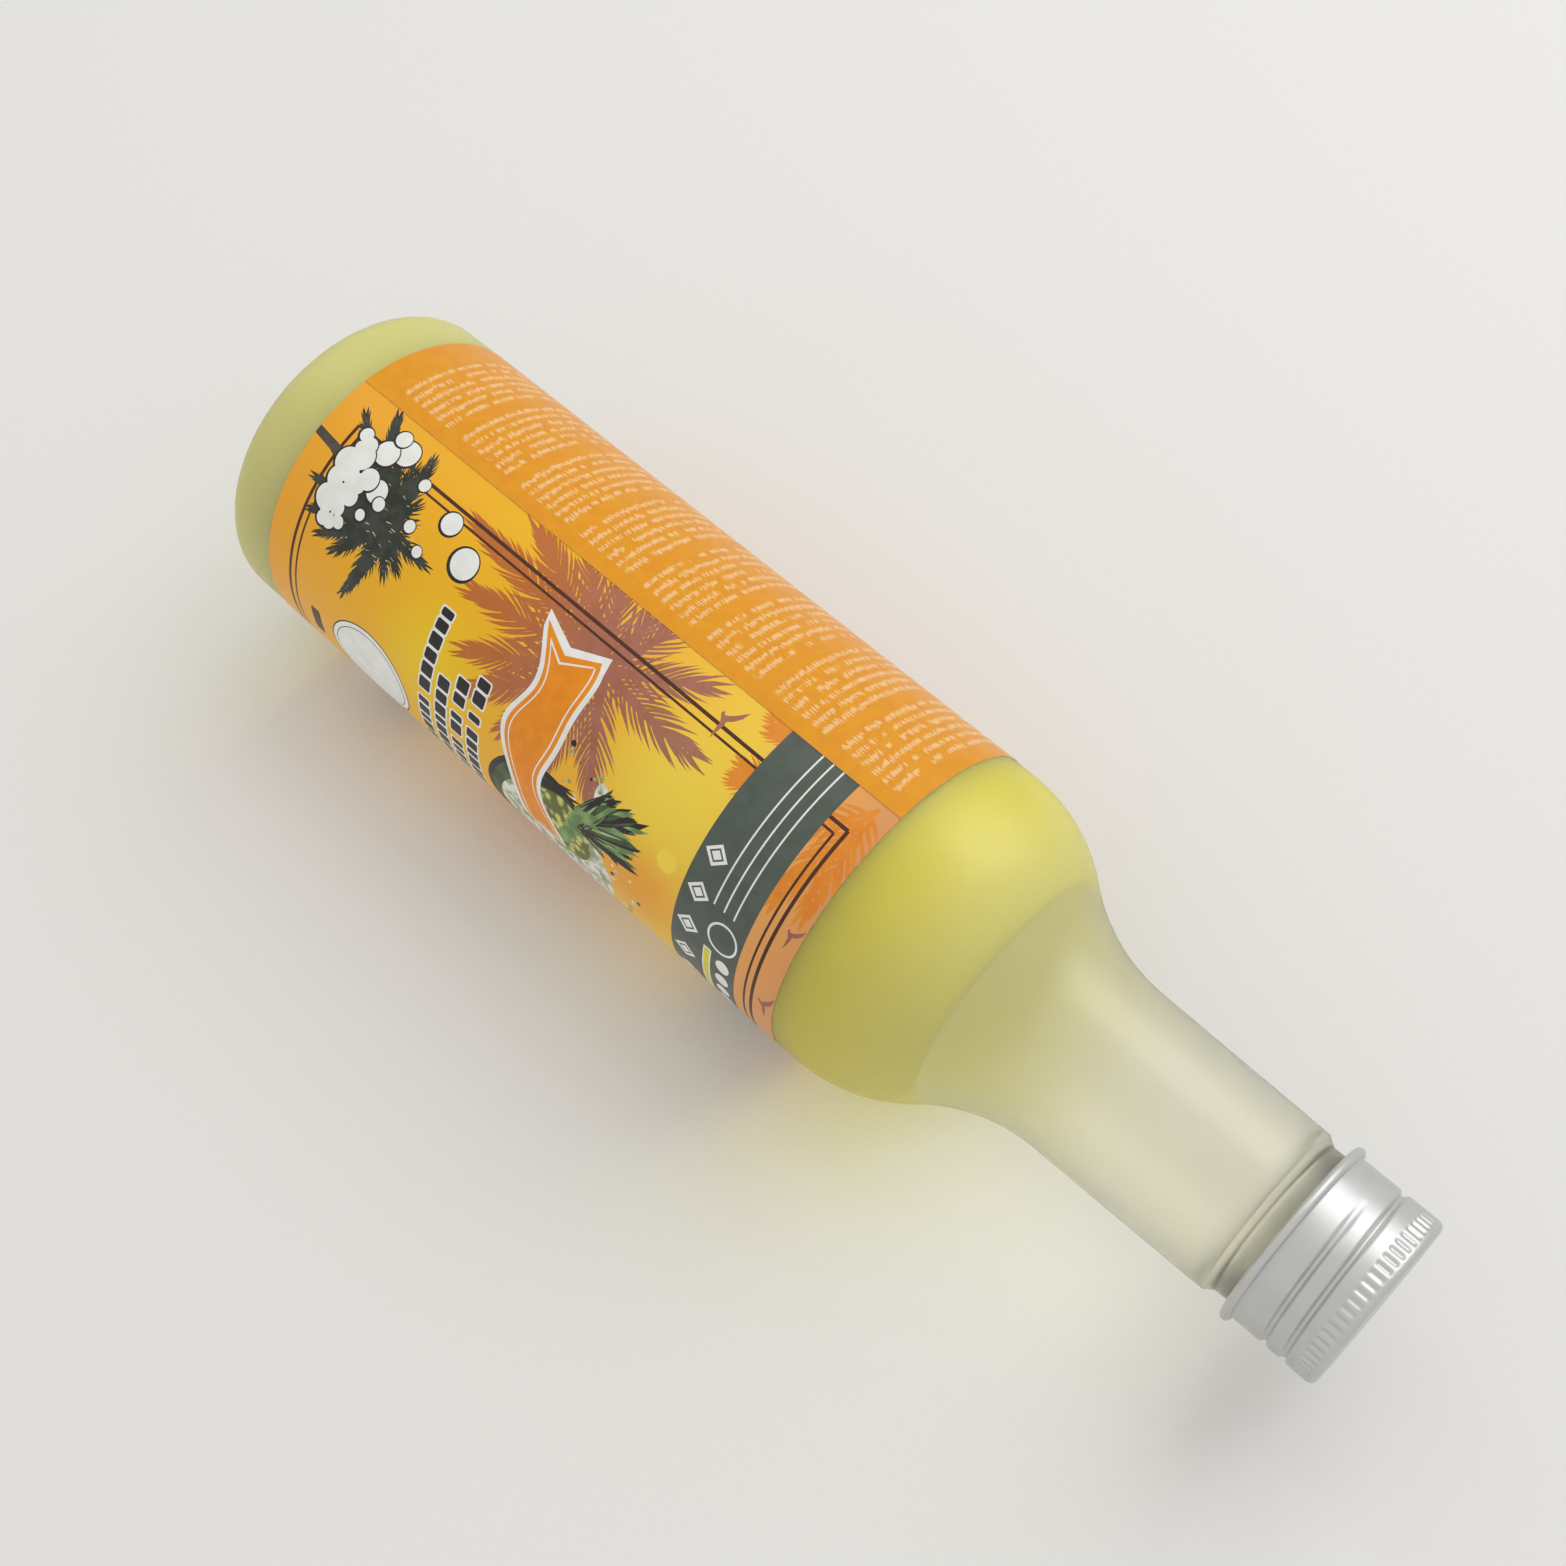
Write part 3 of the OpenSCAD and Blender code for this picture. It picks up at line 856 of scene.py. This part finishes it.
def sunset(s, a, u):
    """The print's background: amber low down, yellow round a low sun, dusky orange at the top, faint cloud bars."""
    ramp = s.add("ShaderNodeValToRGB")
    cloud = s.noise(flat_vector(s, a, u, 0.03, 0.16), 1.0, 3.0)
    s.set(ramp, 0, s.math("ADD", s.math("MULTIPLY", u, 1 / LABEL_H), s.math("MULTIPLY_ADD", cloud, 0.10, -0.05)))
    stops = [(0.0, (242, 168, 36)), (0.15, (243, 176, 22)), (0.35, (244, 184, 12)), (0.6, (243, 182, 40))]
    stops += [(0.8, (246, 204, 64)), (0.925, (234, 164, 84)), (1.0, (224, 152, 92))]
    while len(ramp.color_ramp.elements) < len(stops):
        ramp.color_ramp.elements.new(1.0)
    for element, (at, colour) in zip(ramp.color_ramp.elements, stops):
        element.position, element.color = at, rgb(*colour)

    def near(a0, u0, inner, outer):
        da, du = s.math("SUBTRACT", a, a0), s.math("SUBTRACT", u, u0)
        far = s.math("SQRT", s.math("ADD", s.math("MULTIPLY", da, da), s.math("MULTIPLY", du, du)))
        return s.step(far, outer, inner)

    tone = s.mix(s.math("MULTIPLY", near(-6.0, 86.0, 2.0, 15.0), 0.8), ramp.outputs[0], rgb(240, 156, 30))
    tone = s.mix(near(-23.0, 86.0, 2.0, 17.0), tone, rgb(247, 214, 70))
    tone = s.mix(s.math("MULTIPLY", near(-12.0, 38.0, 1.0, 16.0), 0.8), tone, rgb(245, 208, 10))
    return s.mix(near(-13.9, 90.3, 1.6, 2.1), tone, rgb(250, 218, 74))


# The rows of dashes on the information panel, in millimetres: pitch, side and end margins, half the middle gutter.
ROW_PITCH = 1.93
SIDE_MARGIN = 2.6
LOW_MARGIN = 5.6
HIGH_MARGIN = 2.6
HALF_GUTTER = 1.6
FULL_WORDS = 3.0
ROWS_IN_BLOCK = 7.0
FIRST_ROW = 5.0
EDGE = 0.1
DASH_STRENGTH = 0.5


def greek(s, a, u):
    """Pale word-like dashes in rows and blocks over the information panel, which say nothing."""
    turned = s.math("FRACT", s.math("DIVIDE", s.math("ADD", a, CIRCUMFERENCE), CIRCUMFERENCE))
    a = s.math("MULTIPLY", turned, CIRCUMFERENCE)
    low_a, high_a = FRONT_HALF + SIDE_MARGIN, CIRCUMFERENCE - FRONT_HALF - SIDE_MARGIN
    low_u, high_u = LOW_MARGIN, LABEL_H - HIGH_MARGIN
    inside = s.product(s.step(a, low_a, low_a + EDGE), s.step(a, high_a, high_a - EDGE))
    ends = s.product(s.step(u, low_u, low_u + EDGE), s.step(u, high_u, high_u - EDGE))
    from_middle = s.math("ABSOLUTE", s.math("SUBTRACT", a, CIRCUMFERENCE / 2))
    gutter = s.step(from_middle, HALF_GUTTER, HALF_GUTTER + EDGE)

    rows = s.math("DIVIDE", u, ROW_PITCH)
    row, within = s.math("FLOOR", rows), s.math("FRACT", rows)
    line = s.product(s.step(within, 0.26, 0.34), s.step(within, 0.72, 0.64))
    stem = s.product(s.step(within, 0.10, 0.18), s.step(within, 0.90, 0.82))
    place = s.vector(s.math("MULTIPLY", a, 0.52), s.math("MULTIPLY", row, 7.31))
    words = s.step(s.noise(place, 1.0, 0.0), 0.375, 0.385)
    first, last = low_a + FULL_WORDS, high_a - FULL_WORDS
    margins = s.math("MAXIMUM", s.step(a, last, last + EDGE), s.step(a, first, first - EDGE))
    words = s.math("MAXIMUM", words, margins)

    strokes = s.vector(s.math("MULTIPLY", a, 3.6), s.math("MULTIPLY", rows, 1.6))
    mark = s.noise(strokes, 1.0, 0.0)
    thin = s.product(line, s.step(mark, 0.36, 0.50))
    tall = s.product(stem, s.step(mark, 0.60, 0.66))
    block = s.math("FRACT", s.math("DIVIDE", s.math("ADD", row, FIRST_ROW), ROWS_IN_BLOCK))
    shown = s.product(s.math("MAXIMUM", thin, tall), words, s.step(block, 0.10, 0.12))
    return s.product(shown, inside, gutter, ends, DASH_STRENGTH)


def ink_material(name):
    """Printing ink under a satin varnish, with its own fine print grain."""
    s = Shader("ink_" + name)
    a, u = flat_place(s)
    place = flat_vector(s, a, u)
    grain = s.noise(place, 5.5, 2.0)
    blot = s.noise(place, 0.35, 3.0)
    if name == "sunset":
        tone = sunset(s, a, u)
    else:
        dark, light = (rgb(*colour) for colour in INK_COLOURS[name])
        tone = s.mix(s.step(blot, 0.36, 0.64), dark, light)
        if name == "info":
            tone = s.mix(greek(s, a, u), tone, rgb(252, 224, 178))
        if name == "plum":
            rust = s.mix(blot, rgb(176, 82, 40), rgb(186, 92, 48))
            tone = s.mix(0.86, sunset(s, a, u), s.mix(s.step(u, 44.0, 66.0), rust, tone))
        if name == "fruit":
            eyes = s.add("ShaderNodeTexVoronoi", {"Vector": place, "Scale": 0.62}).outputs["Distance"]
            tone = s.mix(s.step(eyes, 0.2, 0.6), rgb(212, 206, 110), rgb(96, 104, 44))
        if name == "splash":
            tone = s.mix(s.step(s.noise(place, 0.5, 4.0), 0.38, 0.60), rgb(150, 158, 112), rgb(236, 236, 224))
    tone = s.mix(s.math("MULTIPLY_ADD", grain, 0.16, 0.92), (0.0, 0.0, 0.0, 1.0), tone)
    waves = s.noise(place, 0.09, 2.0)
    s.principled(
        Base_Color=tone,
        Roughness=s.math("MULTIPLY_ADD", grain, 0.10, 0.34),
        Specular_IOR_Level=0.3,
        Coat_Weight=0.12,
        Coat_Roughness=0.2,
        Normal=s.bump(s.math("ADD", waves, s.math("MULTIPLY", grain, 0.012)), 0.00025, 0.5),
    )
    return s.material


# Where looks change along the bottle: heights in millimetres, and distances from the liquid's level.
HEEL_LOOK_TOP = 26.0
TINT_OVER_LEVEL = 34.0
PALE_UNDER_LEVEL = 17.0
PLASTIC_IOR = 1.45


def frosted_plastic():
    """Clear plastic with a frosted outside that scatters what shines through it.

    The frost hides most at the heel, and the liquid tints the plastic up to a little over its level.
    """
    s = Shader("frosted_plastic")
    frost = s.noise(s.place(), 4200, 2.0)
    broad = s.noise(s.place(), 70, 2.0)
    z = s.height()
    heel = s.step(z, HEEL_LOOK_TOP, 4.0)
    clear = s.math("SUBTRACT", 0.92, s.math("MULTIPLY", heel, 0.16))
    clear = s.math("SUBTRACT", clear, s.math("MULTIPLY", broad, 0.03))
    film = s.step(s.math("MULTIPLY_ADD", broad, 6.0, z), liquid_high.z + TINT_OVER_LEVEL, liquid_high.z)
    wall = s.mix(broad, rgb(251, 249, 230), rgb(254, 253, 240))
    node = s.principled(
        Base_Color=s.mix(film, wall, rgb(253, 249, 196)),
        Roughness=s.math("MULTIPLY_ADD", frost, 0.08, 0.36),
        IOR=PLASTIC_IOR,
        Transmission_Weight=clear,
        Normal=s.bump(frost, 0.00003, 0.4),
    )
    s.let_lamps_through(node, rgb(250, 250, 244))
    return s.material


def smooth_plastic():
    """The bottle's moulded inside: clear, with faint ripples."""
    s = Shader("smooth_plastic")
    ripple = s.noise(s.place(), 160, 2.0)
    node = s.principled(
        Base_Color=s.mix(ripple, rgb(252, 251, 244), rgb(255, 254, 250)),
        Roughness=s.math("MULTIPLY_ADD", ripple, 0.05, 0.10),
        IOR=PLASTIC_IOR,
        Transmission_Weight=0.97,
        Normal=s.bump(ripple, 0.00002, 0.3),
    )
    s.let_lamps_through(node, rgb(252, 252, 248))
    return s.material


def shampoo():
    """Yellow-green liquid that scatters light, paler at the heel and towards its level."""
    s = Shader("shampoo_liquid")
    thick = s.noise(s.place(), 45, 2.0)
    z = s.height()
    uneven = s.math("MULTIPLY_ADD", thick, 3.0, z)
    level = s.step(uneven, liquid_high.z - PALE_UNDER_LEVEL, liquid_high.z + 1.0)
    heel = s.step(z, HEEL_LOOK_TOP, 6.0)
    deep = s.mix(heel, s.mix(thick, rgb(236, 224, 8), rgb(241, 231, 32)), rgb(222, 220, 138))
    node = s.principled(
        Base_Color=s.mix(level, deep, rgb(246, 240, 172)),
        Roughness=s.math("MULTIPLY_ADD", thick, 0.04, 0.14),
        IOR=1.40,
        Transmission_Weight=s.math("MULTIPLY_ADD", level, 0.10, 0.14),
        Subsurface_Weight=1.0,
        Subsurface_Radius=(1.0, 0.9, 0.2),
        Subsurface_Scale=0.02,
    )
    s.let_lamps_through(node, rgb(250, 248, 214))
    depth = s.add("ShaderNodeVolumeAbsorption", {"Color": (0.925, 0.885, 0.0, 1.0), "Density": 22.0})
    s.tree.links.new(depth.outputs[0], s.out.inputs["Volume"])
    return s.material


def aluminium():
    """Bare spun aluminium: fine turning lines round the cap and faint handling marks."""
    s = Shader("cap_aluminium")
    x, y, z = s.split()
    far = s.math("SQRT", s.math("ADD", s.math("MULTIPLY", x, x), s.math("MULTIPLY", y, y)))
    lines = s.noise(s.vector(far, z), 6000, 3.0, 0.6)
    marks = s.noise(s.place(), 320, 4.0)
    s.principled(
        Base_Color=s.mix(marks, rgb(194, 195, 195), rgb(208, 208, 208)),
        Metallic=1.0,
        Roughness=s.math("ADD", s.math("MULTIPLY_ADD", lines, 0.10, 0.33), s.math("MULTIPLY", marks, 0.08)),
        Normal=s.bump(lines, 0.00002, 0.35),
    )
    return s.material


def foam():
    """White foamed liner with small closed cells."""
    s = Shader("liner_foam")
    cells = s.add("ShaderNodeTexVoronoi", {"Vector": s.place(), "Scale": 2600.0}).outputs["Distance"]
    s.principled(
        Base_Color=s.mix(cells, rgb(226, 226, 220), rgb(242, 242, 238)),
        Roughness=0.6,
        Normal=s.bump(cells, 0.00004, 0.5),
    )
    return s.material


# ---------------------------------------------------------------- scene

bpy.context.scene.view_settings.view_transform = "Standard"
add_camera()
add_surface()
add_world()
add_lamps()

make_bottle()
make_label()
make_shampoo().data.materials.append(shampoo())
make_liner().data.materials.append(foam())
make_cap().data.materials.append(aluminium())
